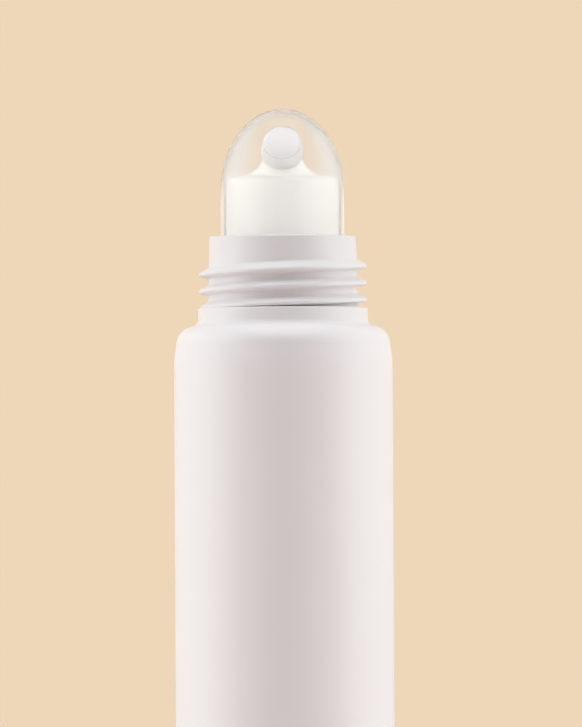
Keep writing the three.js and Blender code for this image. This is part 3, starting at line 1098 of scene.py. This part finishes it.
def behind_colour(tree, place, colours):
    """The colour that the clear dome shows of the floor or world at a place around the tube."""
    way = add(tree, "ShaderNodeSeparateXYZ", {0: place}).outputs
    level = calc(tree, "MULTIPLY_ADD", way["X"], way["X"], calc(tree, "MULTIPLY", way["Y"], way["Y"]))
    side = calc(tree, "DIVIDE", calc(tree, "ABSOLUTE", way["X"]), calc(tree, "SQRT", level))
    ramp = add(tree, "ShaderNodeValToRGB", {"Fac": side})
    stops = ramp.color_ramp.elements
    stops.remove(stops[1])
    stops[0].position, stops[0].color = colours[0]
    for position, colour in colours[1:]:
        stops.new(position).color = colour
    return ramp.outputs["Color"]


def make_floor():
    mesh = bpy.data.meshes.new("floor")
    disc = bmesh.new()
    bmesh.ops.create_circle(disc, cap_ends=True, segments=FLOOR_SIDES, radius=FLOOR_RADIUS)
    disc.to_mesh(mesh)
    disc.free()
    material, tree, card = new_material("floor_card")
    ray = add(tree, "ShaderNodeLightPath").outputs
    tone = blend(tree, ray["Is Camera Ray"], FLOOR_BOUNCE, BACKDROP)
    tree.links.new(tone, card.inputs["Base Color"])
    card.inputs["Roughness"].default_value = FLOOR_ROUGHNESS
    place = add(tree, "ShaderNodeTexCoord").outputs["Object"]
    away = add(tree, "ShaderNodeVectorMath", {0: place}, operation="LENGTH").outputs["Value"]
    plain = remap(tree, away, (LIT_RADIUS, PLAIN_RADIUS))
    plain = calc(tree, "MULTIPLY", plain, ray["Is Camera Ray"])
    seen = behind_colour(tree, place, FLOOR_BEHIND)
    for mask, colour in ((ray["Diffuse Depth"], ROOM_WHITE), (ray["Is Camera Ray"], BACKDROP)):
        seen = blend(tree, mask, seen, colour)
    glow = add(tree, "ShaderNodeEmission", {"Color": seen, "Strength": 1.0})
    glowing = calc(tree, "MAXIMUM", plain, ray["Is Transmission Ray"])
    mixed = add(tree, "ShaderNodeMixShader", {0: glowing, 1: card.outputs[0], 2: glow.outputs[0]})
    tree.links.new(mixed.outputs[0], tree.nodes["Material Output"].inputs["Surface"])
    floor = new_piece("floor", mesh, material)


make_floor()

# %% [markdown]
# Two tall soft boxes stand at the sides, each with a faint strip behind it that the gloss can mirror. A
# broad box hangs above and one stands behind for the other views. The sides of a white tube then glow,
# while its middle, which faces the darker camera side, falls off softly.

# %% World and lamps
SOFT_BOX_DISTANCE = 0.45
SOFT_BOX_TARGET = 0.07
LAMP_COLOUR = (0.94, 1.0, 1.0)
AMBIENT = (0.2, 0.148, 0.166, 1)
SIDE_BOX = (0.3, 0.55)
SOFT_BOXES = {
    "left_box": {"azimuth": -79, "elevation": 15, "size": SIDE_BOX, "power": 1.76, "mirrored": False},
    "right_box": {"azimuth": 79, "elevation": 15, "size": SIDE_BOX, "power": 1.72, "mirrored": False},
    "left_strip": {"azimuth": -104, "elevation": 15, "size": SIDE_BOX, "power": 0.12},
    "right_strip": {"azimuth": 104, "elevation": 15, "size": SIDE_BOX, "power": 0.12},
    "top_box": {"azimuth": 0, "elevation": 80, "size": (0.4, 0.4), "power": 0.85, "seen_through": False},
    "back_box": {
        "azimuth": 180,
        "elevation": 30,
        "size": (0.5, 0.5),
        "power": 0.42,
        "mirrored": False,
        "seen_through": False,
    },
}

# Gloss mirrors the backdrop behind the tube, which sets in between these Y parts of a ray's direction.
MIRROR_START = 0.1
MIRROR_FULL = 0.7


def make_world():
    world = bpy.data.worlds.new("studio")
    world.use_nodes = True
    scene.world = world
    tree = world.node_tree
    tree.nodes.clear()
    ray = add(tree, "ShaderNodeLightPath").outputs
    seen = calc(tree, "MAXIMUM", ray["Is Camera Ray"], ray["Is Transmission Ray"])
    seen = calc(tree, "GREATER_THAN", seen, ray["Diffuse Depth"])
    place = add(tree, "ShaderNodeTexCoord").outputs["Generated"]
    shown = blend(tree, ray["Is Camera Ray"], behind_colour(tree, place, WALL_BEHIND), BACKDROP)
    inside = calc(tree, "MINIMUM", ray["Is Transmission Ray"], ray["Diffuse Depth"])
    lit = blend(tree, inside, AMBIENT, ROOM_WHITE)
    depth = add(tree, "ShaderNodeSeparateXYZ", {0: place}).outputs["Y"]
    far = remap(tree, depth, (MIRROR_START, MIRROR_FULL))
    lit = blend(tree, calc(tree, "MULTIPLY", ray["Is Glossy Ray"], far), lit, BACKDROP)
    fill = add(tree, "ShaderNodeBackground", {"Color": lit, "Strength": 1.0})
    backdrop = add(tree, "ShaderNodeBackground", {"Color": shown, "Strength": 1.0})
    mixed = add(tree, "ShaderNodeMixShader", {0: seen, 1: fill.outputs[0], 2: backdrop.outputs[0]})
    add(tree, "ShaderNodeOutputWorld", {"Surface": mixed.outputs[0]})


def soft_box(name, azimuth, elevation, size, power, mirrored=True, seen_through=True):
    """A soft box that looks at the tube. Azimuth 0 is the camera's side, and 90 the right."""
    a, e = math.radians(azimuth), math.radians(elevation)
    aim = Vector((math.sin(a) * math.cos(e), -math.cos(a) * math.cos(e), math.sin(e)))
    data = bpy.data.lights.new(name, "AREA")
    data.shape = "RECTANGLE"
    data.size, data.size_y = size
    data.energy = power
    data.color = LAMP_COLOUR
    lamp = bpy.data.objects.new(name, data)
    scene.collection.objects.link(lamp)
    lamp.location = aim * SOFT_BOX_DISTANCE + Vector((0, 0, SOFT_BOX_TARGET))
    lamp.rotation_mode = "QUATERNION"
    lamp.rotation_quaternion = aim.to_track_quat("Z", "Y")
    lamp.visible_camera = False
    lamp.visible_glossy = mirrored
    lamp.visible_transmission = seen_through


make_world()
for name, setting in SOFT_BOXES.items():
    soft_box(name, **setting)
